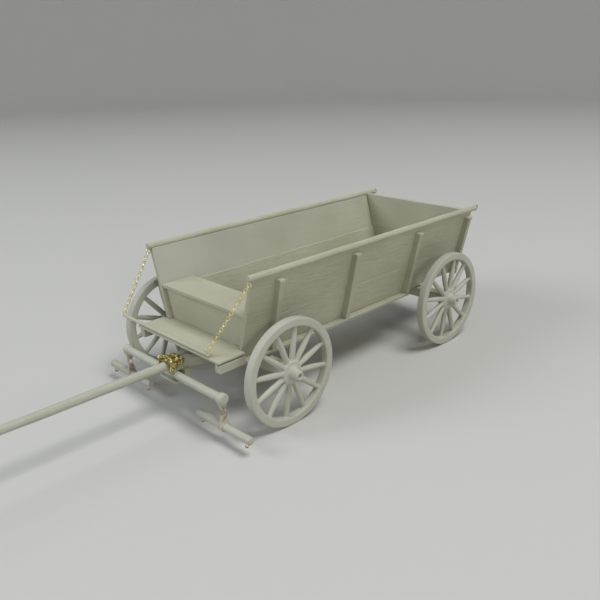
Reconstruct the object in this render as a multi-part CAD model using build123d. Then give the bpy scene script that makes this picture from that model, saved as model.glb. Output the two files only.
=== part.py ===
from build123d import *
import math
import os

# Farm wagon, a scale model of 1 to 35 cast in resin with etched brass fittings.
# Millimetres. X points forward along the pole, Y to the wagon's left, Z up.
# The ground is z = 0 and the origin is under the middle of the whole model.
# While the pieces are made, x = 0 is at the front axle. export_all shifts them.

# Wheels and axles
front_wheel_radius = 13.0
rear_wheel_radius = 13.4
wheelbase = 62.5
felloe_depth = 2.0
felloe_width = 2.1
felloe_outer_y = 24.9
spoke_count = 12
spoke_sides = 8
spoke_root_radius = 0.7
spoke_tip_radius = 0.54
spoke_seat_depth = 0.3
felloe_flats_per_spoke = 3
front_spoke_turns = (-9.5, 11)
rear_spoke_turns = (-12.5, 4)
nave_inner_y = 21.6
nave_barrel_radius = 2.1
nave_flange_radius = 2.8
nave_flange_width = 1.7
nave_collar_radius = 1.4
nave_collar_length = 2.4
nave_end_y = 27.1
axle_pin_radius = 0.45
axle_pin_clearance = 0.06
axle_pin_end_y = 26.3
axle_beam_width = 2.8
axle_beam_height = 2.6
axle_beam_gap = 0.3

# Box of the wagon
floor_top_z = 17.7
floor_thickness = 0.55
bed_rise = 0.2
ledge_top_z = 15.4
ledge_thickness = 0.7
ledge_half_width = 16.2
ledge_rear_x = -54.6
panel_front_x = 6.5
panel_rear_x = -79.4
panel_foot_y = 14.3
panel_thickness = 1.2
panel_flare = 0.27
rail_radius = 0.85
rail_z = 35.9
rail_front_x = 7.3
rail_rear_x = -81.6
rail_seat = 0.45
rail_overhang = 0.2
board_clearance = 0.05
tailgate_inner_x = -76.8
tailgate_thickness = 1.2
tailgate_top_z = 36.0
front_board_x = 5.4
front_board_thickness = 1.0
seat_top_z = 26.5
seat_thickness = 0.9
seat_front_x = 6.25
seat_rear_x = -3.4
cleat_width = 1.0
cleat_height = 1.1

# Stakes outside the box
stake_pitch = 25.8
stake_first_x = -2.0
ledge_stake_count = 3
stake_rear_inset = 1.6
stake_width = 1.2
stake_depth = 1.9
stake_top_z = 34.0
stake_cap_height = 0.75
stake_cap_overhang = 0.2

# Frame under the floor
sill_width = 1.8
sill_front_x = 13.8
sill_front_inset = 0.1
bolster_width = 3.4
bolster_bottom_z = 14.8
reach_width = 1.8
reach_height = 1.6

# Foot board, foot bar and chains
foot_board_front_x = 14.2
foot_board_half_width = 16.1
foot_bar_radius = 0.45
foot_bar_x = 13.7
foot_bar_left_y = 12.4
foot_bar_right_y = -20.2
foot_bar_tip_y = -23.6
foot_bar_tip_rise = 0.2
link_length = 1.25
link_width = 0.82
link_wire = 0.2
link_corner = 0.2
link_clearance = 0.06
chain_eye_radius = 0.45
rail_chain_inset = 0.2
bar_chain_inset = 0.5

# Front gear, pole and draught gear
turntable_radius = 5.0
turntable_thickness = 0.4
turntable_gap = 0.2
kingpin_radius = 0.7
kingpin_clearance = 0.1
kingpin_foot_length = 0.4
pole_z = 12.85
pole_radius = 1.15
pole_tip_radius = 0.85
pole_tip_chamfer = 0.25
pole_rear_x = 10.5
pole_taper_x = 24.0
pole_tip_x = 92.36
hound_width = 1.9
hound_height = 2.2
hound_foot_y = 9.5
hound_tip_width = 1.15
hound_tip_inner_y = 0.9
hound_bend_length = 1.0
hound_overhang = 1.2
doubletree_x = 16.0
doubletree_half_length = 19.9
doubletree_radius = 1.0
doubletree_knob_radius = 1.4
doubletree_knob_length = 1.6
doubletree_gap = 0.1
hitch_pin_radius = 0.45
hitch_pin_clearance = 0.1
hitch_pin_head_radius = 0.8
hitch_pin_head_height = 0.5
hitch_plate_thickness = 0.3
hitch_plate_length = 4.2
hitch_plate_width = 4.8
hitch_plate_overhang = 1.8
hitch_plate_flange = 2.0
under_plate_thickness = 0.5
under_plate_half_width = 3.1
under_plate_heel_gap = 0.6
under_plate_heel_length = 1.6
under_plate_overhang = 1.2
hang_y = 19.0
ring_radius = 1.2
ring_wire_radius = 0.17
lug_hole_radius = 0.4
lug_hole_drop = 1.1
lug_root_width = 2.6
lug_root_thickness = 1.0
lug_tip_width = 1.3
lug_tip_thickness = 0.5
lug_tip_wall = 0.25
singletree_half_length = 9.2
singletree_radius = 0.92
singletree_drop = 2.2
singletree_chamfer = 0.25
bar_sides = 24
strap_wall = 0.3
strap_width = 1.5
strap_sides = 8
eye_radius = 0.42
rail_eye_radius = 0.6
eye_wire_radius = 0.13
eye_inset = 1.4
eye_shank_depth = 0.5
ring_sides = 10

# Places worked out from the sizes above
floor_bottom_z = floor_top_z - floor_thickness
bed_top_z = floor_top_z + bed_rise
ledge_bottom_z = ledge_top_z - ledge_thickness
rear_axle_x = -wheelbase
felloe_inner_y = felloe_outer_y - felloe_width
axle_beam_end_y = nave_inner_y - axle_beam_gap
turntable_z = bolster_bottom_z - turntable_gap - turntable_thickness
rear_axle_top_z = rear_wheel_radius + axle_beam_height / 2
panel_slope = math.hypot(1, panel_flare)
panel_wall_y = panel_thickness * panel_slope
rail_y = panel_foot_y + panel_flare * (rail_z - ledge_top_z) - panel_wall_y / 2 + rail_overhang
doubletree_z = pole_z - pole_radius - doubletree_radius
under_plate_top_z = doubletree_z - doubletree_radius - doubletree_gap
foot_bar_top_z = floor_top_z + 2 * foot_bar_radius
upper_hole_z = doubletree_z - doubletree_radius - lug_hole_drop
ring_z = upper_hole_z - ring_radius
lower_hole_z = ring_z - ring_radius
singletree_z = lower_hole_z - singletree_drop
hitch_plate_front_x = doubletree_x + hitch_plate_overhang
hitch_plate_rear_x = hitch_plate_front_x - hitch_plate_length


def outer_face_y(z):
    """Distance of a side panel's outer face from the middle at height z."""
    return panel_foot_y + panel_flare * (z - ledge_top_z)


def inner_face_y(z):
    """Distance of a side panel's inner face from the middle at height z."""
    return outer_face_y(z) - panel_wall_y


def block(x0, x1, y0, y1, z0, z1):
    """Box between two corners."""
    size = Box(x1 - x0, y1 - y0, z1 - z0)
    return Pos((x0 + x1) / 2, (y0 + y1) / 2, (z0 + z1) / 2) * size


def rod(start, end, radius):
    """Round bar between two points."""
    a, b = Vector(*start), Vector(*end)
    plane = Plane(origin=a, z_dir=(b - a).normalized())
    length = (b - a).length
    return plane * Cylinder(radius, length, align=(Align.CENTER, Align.CENTER, Align.MIN))


def tapered_bar(plane, sections):
    """Bar of many narrow flats through sections of distance along the plane's normal and radius."""
    outlines = [plane * Pos(0, 0, z) * RegularPolygon(radius, bar_sides) for z, radius in sections]
    return loft(outlines, ruled=True)


def across(points_yz, x0, x1):
    """Outline in the YZ plane, carried from x0 to x1."""
    face = make_face(Polyline(*[(x0, y, z) for y, z in points_yz], close=True))
    return extrude(face, amount=x1 - x0, dir=(1, 0, 0))


def along_y(points_ry):
    """Profile of radius and y, turned about the Y axis."""
    face = make_face(Polyline(*[(r, y, 0) for r, y in points_ry], close=True))
    return revolve(face, Axis.Y)


def flat_sided(radius, sides):
    """Regular outline measured across its flats, one of them facing along the first axis."""
    return RegularPolygon(radius, sides, major_radius=False, rotation=180 / sides)


def disc_y(sketch, y0, y1):
    """Flat outline carried along Y. Its first axis becomes Z, so a flat faces up."""
    return Pos(0, y0, 0) * Rot(-90, 0, 0) * Rot(0, 0, 90) * extrude(sketch, amount=y1 - y0)


def mirror_y(shape):
    """The same piece on the wagon's other side."""
    return mirror(shape, Plane.XZ)


def wheel(radius, axle_x, spoke_turn):
    """Left wheel in one casting, bored for its axle pin.

    Every spoke is a tapered bar that seats on a flat of the nave band and of the felloe.
    The first spoke leans forward from the top by spoke_turn degrees."""
    hub_y = felloe_outer_y - felloe_width / 2
    inner = radius - felloe_depth
    flats = spoke_count * felloe_flats_per_spoke
    felloe = disc_y(Circle(radius) - flat_sided(inner, flats), felloe_inner_y, felloe_outer_y)
    band_half = nave_flange_width / 2
    band = disc_y(flat_sided(nave_flange_radius, spoke_count), hub_y - band_half, hub_y + band_half)
    barrel = along_y([
        (0, nave_inner_y),
        (nave_barrel_radius, nave_inner_y),
        (nave_barrel_radius, nave_end_y - nave_collar_length),
        (nave_collar_radius, nave_end_y - nave_collar_length),
        (nave_collar_radius, nave_end_y),
        (0, nave_end_y),
    ])
    casting = felloe + (band + barrel)
    length = inner - nave_flange_radius + 2 * spoke_seat_depth
    bar = loft([
        flat_sided(spoke_root_radius, spoke_sides),
        Pos(0, 0, length) * flat_sided(spoke_tip_radius, spoke_sides),
    ], ruled=True)
    seat = nave_flange_radius - spoke_seat_depth
    for i in range(spoke_count):
        turn = Rot(0, 360 * i / spoke_count, 0)
        casting += Pos(0, hub_y, 0) * turn * Pos(0, 0, seat) * bar
    bore = rod((0, nave_inner_y, 0), (0, nave_end_y, 0), axle_pin_radius + axle_pin_clearance)
    return Pos(axle_x, 0, radius) * Rot(0, spoke_turn, 0) * (casting - bore)


def axle(radius, axle_x, top_z):
    """Square beam with a round pin at each end for the wheels."""
    beam = block(
        axle_x - axle_beam_width / 2, axle_x + axle_beam_width / 2,
        -axle_beam_end_y, axle_beam_end_y,
        radius - axle_beam_height / 2, top_z)
    pins = rod((axle_x, -axle_pin_end_y, radius), (axle_x, axle_pin_end_y, radius), axle_pin_radius)
    return beam + pins


def side_panel():
    """Left side of the box, flared outwards, hollowed on top to seat the rail."""
    top_z = rail_z - rail_seat
    outline = [
        (outer_face_y(ledge_top_z), ledge_top_z),
        (outer_face_y(top_z), top_z),
        (inner_face_y(top_z), top_z),
        (inner_face_y(ledge_top_z), ledge_top_z),
    ]
    return across(outline, panel_rear_x, panel_front_x) - rail()


def rail():
    """Left top rail, a plain round rod."""
    return rod((rail_front_x, rail_y, rail_z), (rail_rear_x, rail_y, rail_z), rail_radius)


def stakes():
    """Left stakes, leaning with the panel, each with a small cap."""
    row = []
    cap_z = stake_top_z - stake_cap_height
    foot_y = outer_face_y(ledge_top_z)
    ledge_stakes = [stake_first_x - i * stake_pitch for i in range(ledge_stake_count)]
    for x in ledge_stakes + [panel_rear_x + stake_rear_inset]:
        outline = [
            (foot_y, ledge_top_z),
            (foot_y + stake_depth, ledge_top_z),
            (outer_face_y(cap_z) + stake_depth, cap_z),
            (outer_face_y(cap_z), cap_z),
        ]
        post = across(outline, x - stake_width / 2, x + stake_width / 2)
        cap_outline = [
            (outer_face_y(cap_z), cap_z),
            (outer_face_y(cap_z) + stake_depth + stake_cap_overhang, cap_z),
            (outer_face_y(stake_top_z) + stake_depth, stake_top_z),
            (outer_face_y(stake_top_z), stake_top_z),
        ]
        half = stake_width / 2 + stake_cap_overhang
        row.append(post + across(cap_outline, x - half, x + half))
    return row


def between_panels(z0, z1, x0, x1):
    """Board across the box, cut to the slope of the sides."""
    y0 = inner_face_y(z0) - board_clearance
    y1 = inner_face_y(z1) - board_clearance
    return across([(-y0, z0), (y0, z0), (y1, z1), (-y1, z1)], x0, x1)


def tailgate():
    """Tail board, square above the panels where it stands between the rails."""
    shoulder_z = rail_z - rail_radius - board_clearance
    y0 = inner_face_y(floor_top_z) - board_clearance
    y1 = min(inner_face_y(shoulder_z), rail_y - rail_radius) - board_clearance
    outline = [
        (-y0, floor_top_z), (y0, floor_top_z),
        (y1, shoulder_z), (y1, tailgate_top_z),
        (-y1, tailgate_top_z), (-y1, shoulder_z),
    ]
    return across(outline, tailgate_inner_x - tailgate_thickness, tailgate_inner_x)


def seat_cleat():
    """Left batten that carries the seat board inside the panel."""
    top_z = seat_top_z - seat_thickness
    foot_z = top_z - cleat_height
    outline = [
        (inner_face_y(foot_z), foot_z),
        (inner_face_y(top_z), top_z),
        (inner_face_y(top_z) - cleat_width, top_z),
        (inner_face_y(foot_z) - cleat_width, foot_z),
    ]
    return across(outline, seat_rear_x, front_board_x - front_board_thickness)


def floor_plate():
    """Bed floor between the side panels, raised between the tail board and the front board."""
    half = inner_face_y(floor_bottom_z) - board_clearance
    plate = block(panel_rear_x, panel_front_x, -half, half, floor_bottom_z, floor_top_z)
    bed_front_x = front_board_x - front_board_thickness
    return plate + block(tailgate_inner_x, bed_front_x, -half, half, floor_top_z, bed_top_z)


def foot_board():
    """Board in front of the box, as thick as the floor it continues."""
    return block(
        panel_front_x, foot_board_front_x,
        -foot_board_half_width, foot_board_half_width,
        floor_bottom_z, floor_top_z)


def sill_inner_y():
    """Inner side of the long sills, which lie inside the feet of the panels."""
    return inner_face_y(ledge_top_z) - board_clearance - sill_width


def sill():
    """Left long sill on the ledge plank that carries the panel and the stakes.

    A block continues them under the foot board."""
    inner = sill_inner_y()
    front_outer = foot_board_half_width - sill_front_inset
    ledge = block(ledge_rear_x, panel_front_x, inner, ledge_half_width, ledge_bottom_z, ledge_top_z)
    long_sill = block(panel_rear_x, panel_front_x, inner, inner + sill_width, ledge_top_z, floor_bottom_z)
    front = block(panel_front_x, sill_front_x, front_outer - sill_width, front_outer,
                  ledge_bottom_z, floor_bottom_z)
    return ledge + long_sill + front


def bolster(axle_x, bottom_z):
    """Cross piece between the sills."""
    half = bolster_width / 2
    y = sill_inner_y()
    return block(axle_x - half, axle_x + half, -y, y, bottom_z, floor_bottom_z)


def foot_bar():
    """Bar on the front edge of the foot board. Its right end sticks out and turns up."""
    z = floor_top_z + foot_bar_radius
    line = Polyline(
        (foot_bar_x, foot_bar_left_y, z),
        (foot_bar_x, foot_bar_right_y, z),
        (foot_bar_x, foot_bar_tip_y, z + foot_bar_tip_rise))
    section = Plane(origin=line @ 0, z_dir=line % 0) * Circle(foot_bar_radius)
    return sweep(section, path=line, transition=Transition.RIGHT)


def chain(start, end):
    """Straight run of open links from eye to eye, each turned a quarter from the last."""
    a, b = Vector(*start), Vector(*end)
    hook = chain_eye_radius - eye_wire_radius - link_clearance - link_wire + link_length / 2
    line = (b - a).normalized()
    first, last = a + line * hook, b - line * hook
    pitch = link_length - 2 * link_wire - link_clearance
    steps = 2 * math.ceil((last - first).length / pitch / 2)
    side = line.cross(Vector(0, 0, 1)).normalized()
    link = chain_link()
    links = []
    for i in range(steps + 1):
        plane = Plane(origin=first + (last - first) * (i / steps), x_dir=side, z_dir=line)
        links.append(plane * Rot(0, 0, 90 * (i % 2)) * link)
    return links


def chain_link():
    """One link standing along Z, cut from flat wire with its outer corners off."""
    half, side = link_length / 2, link_width / 2
    long_flat, short_flat = half - link_corner, side - link_corner
    corners = [
        (side, long_flat), (short_flat, half), (-short_flat, half), (-side, long_flat),
        (-side, -long_flat), (-short_flat, -half), (short_flat, -half), (side, -long_flat),
    ]
    face = make_face(Polyline(*[(x, 0, z) for x, z in corners], close=True))
    flat = Pos(0, -link_wire / 2, 0) * extrude(face, amount=link_wire, dir=(0, 1, 0))
    return flat - Box(link_width - 2 * link_wire, 2 * link_wire, link_length - 2 * link_wire)


def wire_eye(centre, normal, radius, wire_radius, toward=None, shank=0):
    """Ring of square wire about a centre, with a shank let into what carries it."""
    outline = (RegularPolygon(radius + wire_radius, ring_sides)
               - RegularPolygon(radius - wire_radius, ring_sides))
    plane = Plane(origin=Vector(*centre), z_dir=Vector(*normal))
    eye = plane * Pos(0, 0, -wire_radius) * extrude(outline, amount=2 * wire_radius)
    if toward is None:
        return eye
    way = Vector(*toward)
    foot = Plane(origin=Vector(*centre) + way * radius, x_dir=Vector(*normal), z_dir=way)
    return eye + foot * Pos(0, 0, shank / 2) * Box(2 * wire_radius, 2 * wire_radius, shank)


def eye_below(x, y, z, bar_radius, normal):
    """Eye under a bar whose middle is at height z."""
    centre = (x, y, z - bar_radius - eye_radius)
    return wire_eye(centre, normal, eye_radius, eye_wire_radius, (0, 0, 1), eye_shank_depth)


def trace_eye(side):
    """Eye under the left singletree, on its outer side for 1 and on its inner side for -1."""
    y = hang_y + side * (singletree_half_length - eye_inset)
    return eye_below(doubletree_x, y, singletree_z, singletree_radius, (0, 1, 0))


def rail_eye():
    """Left wire eye in the rear end of the rail."""
    centre = (rail_rear_x - rail_eye_radius, rail_y, rail_z)
    return wire_eye(centre, (0, 1, 0), rail_eye_radius, eye_wire_radius, (1, 0, 0), eye_shank_depth)


def chain_ends(side):
    """Eye centres of the chain on the left for 1 and on the right for -1, rail first."""
    top = (rail_front_x - rail_chain_inset, side * rail_y, rail_z - rail_radius - chain_eye_radius)
    if side > 0:
        foot_y, foot_z = foot_bar_left_y - bar_chain_inset, foot_bar_top_z
    else:
        foot_y = foot_bar_tip_y + bar_chain_inset
        rise = foot_bar_tip_rise * (foot_y - foot_bar_right_y) / (foot_bar_tip_y - foot_bar_right_y)
        foot_z = foot_bar_top_z + rise
    return top, (foot_bar_x, foot_y, foot_z + chain_eye_radius)


def chain_eyes(side):
    """Eye under the rail and eye on the foot bar, both edgewise to the chain."""
    top, foot = chain_ends(side)
    edge = (Vector(*foot) - Vector(*top)).cross(Vector(0, 0, 1)).normalized()
    wire = (chain_eye_radius, eye_wire_radius)
    return [
        wire_eye(top, edge, *wire, (0, 0, 1), eye_shank_depth),
        wire_eye(foot, edge, *wire, (0, 0, -1), eye_shank_depth),
    ]


def lug(hole_z, root_z):
    """Lug at hang_y that tapers from a bar to its tip, with a hole along Y for the wire ring."""
    sign = 1 if root_z > hole_z else -1
    tip_z = hole_z - sign * (lug_hole_radius + lug_tip_wall)
    x = doubletree_x
    root = Pos(x, hang_y, root_z) * Rectangle(lug_root_width, lug_root_thickness)
    tip = Pos(x, hang_y, tip_z) * Rectangle(lug_tip_width, lug_tip_thickness)
    body = loft([root, tip], ruled=True)
    y0, y1 = hang_y - lug_root_width, hang_y + lug_root_width
    return body - rod((x, y0, hole_z), (x, y1, hole_z), lug_hole_radius)


def doubletree():
    """Long draught bar with a knob and a hanging lug at each end."""
    x, z, half = doubletree_x, doubletree_z, doubletree_half_length
    bar = rod((x, -half, z), (x, half, z), doubletree_radius)
    knob = disc_y(flat_sided(doubletree_knob_radius, bar_sides), half - doubletree_knob_length, half)
    end = Pos(x, 0, z) * knob + lug(upper_hole_z, z)
    bar = bar + end + mirror_y(end)
    hole_radius = hitch_pin_radius + hitch_pin_clearance
    return bar - rod((x, 0, z - 2 * doubletree_radius), (x, 0, z + 2 * doubletree_radius), hole_radius)


def singletree():
    """Left trace bar, hung from the doubletree's end by a wire ring."""
    x, z = doubletree_x, singletree_z
    half = singletree_half_length
    end_radius = singletree_radius - singletree_chamfer
    bar = tapered_bar(Plane(origin=(x, hang_y, z), z_dir=(0, 1, 0)), [
        (-half, end_radius), (singletree_chamfer - half, singletree_radius),
        (half - singletree_chamfer, singletree_radius), (half, end_radius),
    ])
    strap = disc_y(flat_sided(singletree_radius + strap_wall, strap_sides),
                   hang_y - strap_width / 2, hang_y + strap_width / 2)
    return bar + Pos(x, 0, z) * strap + lug(lower_hole_z, z) - trace_eye(1) - trace_eye(-1)


def hounds():
    """Two arms from the axle to the sides of the pole's rear end."""
    z0 = pole_z - hound_height / 2
    inner = hound_tip_inner_y
    tip_x = doubletree_x + hound_overhang
    axle_x = axle_beam_width / 2
    points = [
        (axle_x, hound_foot_y), (axle_x, hound_foot_y - hound_width),
        (pole_rear_x, inner), (tip_x, inner), (tip_x, inner + hound_tip_width),
        (hitch_plate_rear_x, inner + hound_tip_width),
        (pole_rear_x + hound_bend_length, inner + hound_width),
    ]
    face = make_face(Polyline(*[(x, y, z0) for x, y in points], close=True))
    arm = extrude(face, amount=hound_height, dir=(0, 0, 1)) - pole_butt()
    return [arm, mirror_y(arm)]


def pole_butt():
    """Straight rear part of the pole."""
    return rod((pole_rear_x, 0, pole_z), (pole_taper_x, 0, pole_z), pole_radius)


def pole():
    """Draught pole, round between the hounds and tapered in front of them."""
    length = pole_tip_x - pole_taper_x
    taper = tapered_bar(Plane(origin=(pole_taper_x, 0, pole_z), z_dir=(1, 0, 0)), [
        (0, pole_radius),
        (length - pole_tip_chamfer, pole_tip_radius),
        (length, pole_tip_radius - pole_tip_chamfer),
    ])
    return (pole_butt() - hitch_pin()) + taper


def hitch_pin():
    """Bolt that the doubletree turns on, with its head on the hitch plate."""
    foot = under_plate_top_z - under_plate_thickness
    head_z = hitch_plate_z() + hitch_plate_thickness
    shank = rod((doubletree_x, 0, foot), (doubletree_x, 0, head_z), hitch_pin_radius)
    head_top_z = head_z + hitch_pin_head_height
    head = rod((doubletree_x, 0, head_z), (doubletree_x, 0, head_top_z), hitch_pin_head_radius)
    return shank + head


def hitch_plate_z():
    """Height of the pole's crest, where the plate lies."""
    return pole_z + pole_radius


def hitch_plate():
    """Etched plate over the pole's rear end, folded down outside the hounds."""
    x0, x1 = hitch_plate_rear_x, hitch_plate_front_x
    half, z = hitch_plate_width / 2, hitch_plate_z()
    plate = block(x0, x1, -half, half, z, z + hitch_plate_thickness)
    flange = block(x0, x1, half - hitch_plate_thickness, half, z - hitch_plate_flange, z)
    return plate + flange + mirror_y(flange) - hitch_pin()


def under_plate():
    """Tongue below the doubletree, carried by a block under the hounds."""
    back_x = doubletree_x - doubletree_radius - under_plate_heel_gap
    foot_z = under_plate_top_z - under_plate_thickness
    half = under_plate_half_width
    heel = block(back_x - under_plate_heel_length, back_x, -half, half,
                 foot_z, pole_z - hound_height / 2)
    front_x = doubletree_x + under_plate_overhang
    tongue = block(back_x, front_x, -half, half, foot_z, under_plate_top_z)
    return heel + tongue - hitch_pin() - pole_butt()


def front_axle():
    """Front axle beam, bored for the kingpin."""
    return axle(front_wheel_radius, 0, turntable_z) - kingpin_hole()


def kingpin_hole():
    """Bore for the kingpin with its running clearance."""
    return rod((0, 0, 0), (0, 0, bolster_bottom_z), kingpin_radius + kingpin_clearance)


def turntable():
    """Flat ring on the front axle that the front bolster turns over."""
    disc = rod((0, 0, turntable_z), (0, 0, turntable_z + turntable_thickness), turntable_radius)
    return disc - kingpin_hole()


def kingpin():
    """Pin fixed in the front bolster, reaching down through the axle beam."""
    foot_z = front_wheel_radius - axle_beam_height / 2 - kingpin_foot_length
    return rod((0, 0, foot_z), (0, 0, floor_bottom_z), kingpin_radius)


def reach():
    """Long bar under the floor between the two bolsters."""
    half = bolster_width / 2
    z0 = floor_bottom_z - reach_height
    return block(rear_axle_x + half, -half, -reach_width / 2, reach_width / 2, z0, floor_bottom_z)


def both_sides(name, shape):
    """The left piece and its mirror image."""
    shapes = shape if isinstance(shape, list) else [shape]
    return {name + "_left": shapes, name + "_right": [mirror_y(s) for s in shapes]}


def build_nodes():
    """Every piece of the model by name, each as a list of shapes."""
    left_eyes, right_eyes = chain_eyes(1), chain_eyes(-1)
    nodes = {
        "floor": [floor_plate()],
        "tailgate": [tailgate()],
        "front_board": [between_panels(floor_top_z, seat_top_z - seat_thickness,
                                       front_board_x - front_board_thickness, front_board_x)],
        "seat_board": [between_panels(seat_top_z - seat_thickness, seat_top_z,
                                      seat_rear_x, seat_front_x)],
        "foot_board": [foot_board()],
        "foot_bar": [foot_bar() - left_eyes[1] - right_eyes[1]],
        "chain_left": chain(*chain_ends(1)),
        "chain_right": chain(*chain_ends(-1)),
        "chain_eyes_left": left_eyes,
        "chain_eyes_right": right_eyes,
        "rail_left": [rail() - rail_eye() - left_eyes[0]],
        "rail_right": [mirror_y(rail() - rail_eye()) - right_eyes[0]],
        "front_bolster": [bolster(0, bolster_bottom_z) - kingpin()],
        "rear_bolster": [bolster(rear_axle_x, rear_axle_top_z)],
        "reach": [reach()],
        "kingpin": [kingpin()],
        "rear_axle": [axle(rear_wheel_radius, rear_axle_x, rear_axle_top_z)],
        "front_axle": [front_axle()],
        "turntable": [turntable()],
        "hounds": hounds(),
        "pole": [pole()],
        "hitch_plate": [hitch_plate()],
        "hitch_pin": [hitch_pin()],
        "under_plate": [under_plate()],
        "doubletree": [doubletree()],
    }
    nodes.update(both_sides("side_panel", side_panel()))
    nodes.update(both_sides("rail_eye", rail_eye()))
    nodes.update(both_sides("stakes", stakes()))
    nodes.update(both_sides("sill", sill()))
    nodes.update(both_sides("seat_cleat", seat_cleat()))
    wheels = [
        ("front_wheel", front_wheel_radius, 0, front_spoke_turns),
        ("rear_wheel", rear_wheel_radius, rear_axle_x, rear_spoke_turns),
    ]
    for name, radius, axle_x, (left_turn, right_turn) in wheels:
        nodes[name + "_left"] = [wheel(radius, axle_x, left_turn)]
        nodes[name + "_right"] = [mirror_y(wheel(radius, axle_x, right_turn))]
    nodes.update(both_sides("singletree", singletree()))
    nodes.update(both_sides("draught_ring", wire_eye((doubletree_x, hang_y, ring_z), (1, 0, 0),
                                                     ring_radius, ring_wire_radius)))
    nodes.update(both_sides("trace_eyes", [trace_eye(1), trace_eye(-1)]))
    return nodes


def export_all(nodes):
    """Write each node, shifted so that the origin is under the middle of the model."""
    rear_end_x = rail_rear_x - 2 * rail_eye_radius - eye_wire_radius
    shift_x = -(pole_tip_x + rear_end_x) / 2
    os.makedirs("parts", exist_ok=True)
    for name, shapes in nodes.items():
        solids = [s for shape in shapes for s in shape.solids()]
        moved = [Pos(shift_x, 0, 0) * s for s in solids]
        node = moved[0] if len(moved) == 1 else Compound(children=moved)
        node.label = name
        export_step(node, f"parts/{name}.step")
    print("shift", round(shift_x, 4), "nodes", len(nodes))
    print("front axle", shift_x, front_wheel_radius, "rear axle", shift_x + rear_axle_x, rear_wheel_radius)
    print("doubletree", shift_x + doubletree_x, doubletree_z)
    print("ring hole", upper_hole_z, "singletree", singletree_z)
    print("rail", rail_y, rail_z, "pole", shift_x + pole_rear_x, shift_x + pole_tip_x, pole_z)


export_all(build_nodes())
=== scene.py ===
import math

import bmesh
import bpy
import numpy as np
from mathutils import Matrix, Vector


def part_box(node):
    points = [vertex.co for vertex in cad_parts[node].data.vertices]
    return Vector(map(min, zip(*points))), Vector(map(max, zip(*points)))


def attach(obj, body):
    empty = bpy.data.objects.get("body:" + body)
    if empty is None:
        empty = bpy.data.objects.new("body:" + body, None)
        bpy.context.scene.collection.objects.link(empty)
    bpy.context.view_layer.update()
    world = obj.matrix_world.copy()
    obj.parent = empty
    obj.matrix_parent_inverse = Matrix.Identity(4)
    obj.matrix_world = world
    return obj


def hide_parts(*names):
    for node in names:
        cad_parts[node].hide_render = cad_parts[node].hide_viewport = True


# farm wagon, a scale model cast in resin, with etched brass fittings and wire eyes
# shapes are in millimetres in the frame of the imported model, and become metres in makePiece

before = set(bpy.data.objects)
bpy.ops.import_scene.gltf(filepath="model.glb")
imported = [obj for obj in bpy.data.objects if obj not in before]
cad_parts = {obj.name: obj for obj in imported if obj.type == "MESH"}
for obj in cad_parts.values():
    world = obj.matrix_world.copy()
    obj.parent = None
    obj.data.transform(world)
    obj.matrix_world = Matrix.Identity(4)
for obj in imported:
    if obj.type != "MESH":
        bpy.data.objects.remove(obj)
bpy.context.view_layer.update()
mmPerMetre = 1000.0
sides = {"left": 1, "right": -1}    # the sign of y
print("frame loaded,", len(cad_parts), "nodes")


# lowest and highest corner of a CAD node, in millimetres
def spanOf(node):
    low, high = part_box(node)
    return np.array(low) * mmPerMetre, np.array(high) * mmPerMetre


# middle of a node's box
def middleOf(node):
    low, high = spanOf(node)
    return (low + high) / 2


frontAxleX = middleOf("front_wheel_left")[0]


# materials

# sRGB hex to linear, channel by channel
def hexToLinear(code):
    channels = [int(code[i:i + 2], 16) / 255 for i in (1, 3, 5)]
    linear = [c / 12.92 if c <= 0.04045 else ((c + 0.055) / 1.055) ** 2.4 for c in channels]
    return (*linear, 1.0)


# a node with its settings, input values and links from other nodes' outputs
def addNode(tree, kind, settings=None, values=None, links=None):
    node = tree.nodes.new(kind)
    for key, value in (settings or {}).items():
        setattr(node, key, value)
    for key, value in (values or {}).items():
        node.inputs[key].default_value = value
    for key, (source, output) in (links or {}).items():
        tree.links.new(source.outputs[output], node.inputs[key])
    return node


# scale of a pattern whose features are so many millimetres apart
def perMm(size):
    return mmPerMetre / size


# a new material, its node tree, its shader, and the node that gives places on the object
def startMaterial(name):
    material = bpy.data.materials.new(name)
    material.use_nodes = True
    tree = material.node_tree
    return material, tree, tree.nodes["Principled BSDF"], addNode(tree, "ShaderNodeTexCoord")


mostNoise = (0.3, 0.7)    # a noise seldom leaves this range
resinLook = {
    "pale": "#B3B3A0",    # light grey-beige of the box castings
    "shade": "#A9A792",    # slightly browner cloud in it
    "coolPale": "#B2B3A6",    # wheels and bars are a little cooler; the same tint mixed into the smooth upper planks inside the box is painted cool light
    "coolShade": "#A8A99A",
    "pinkPale": "#B9ACA2",    # putty of the brackets on the short draught bars
    "pinkShade": "#AA9C92",
    "cloudMm": 16.0,    # size of the clouds
    "roughness": 0.58,
    "specular": 0.4,
    "skinMm": 0.22,    # orange peel of the mould's skin, coarser than real so that it shows
    "skinDepthMm": 0.008,
    "edgeMm": 0.09,    # softness of cast edges
    # wood grain carved into the master, and broader hollows between its lines
    "grain": {"acrossMm": 0.5, "alongMm": 4.5, "depthMm": 0.08, "warp": 0.6},
    "streak": {"acrossMm": 1.6, "alongMm": 12.0, "depthMm": 0.12, "warp": 2.0},
    "grainDark": 0.09,    # how much darker the lines of full grain are
    "grainPale": 1.03,    # brightness between them
    # the same fade sets how strong the painted cool light on these planks is
    "smoothX": -20.0,    # the smooth planks are smoothest ahead of here
    "roughX": -75.0,    # and roughest behind here, where this share of it is left
    "smoothLeast": 0.45,
    "smoothRelief": 0.12,    # share of the grain's depth where they are smoothest
}


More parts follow.
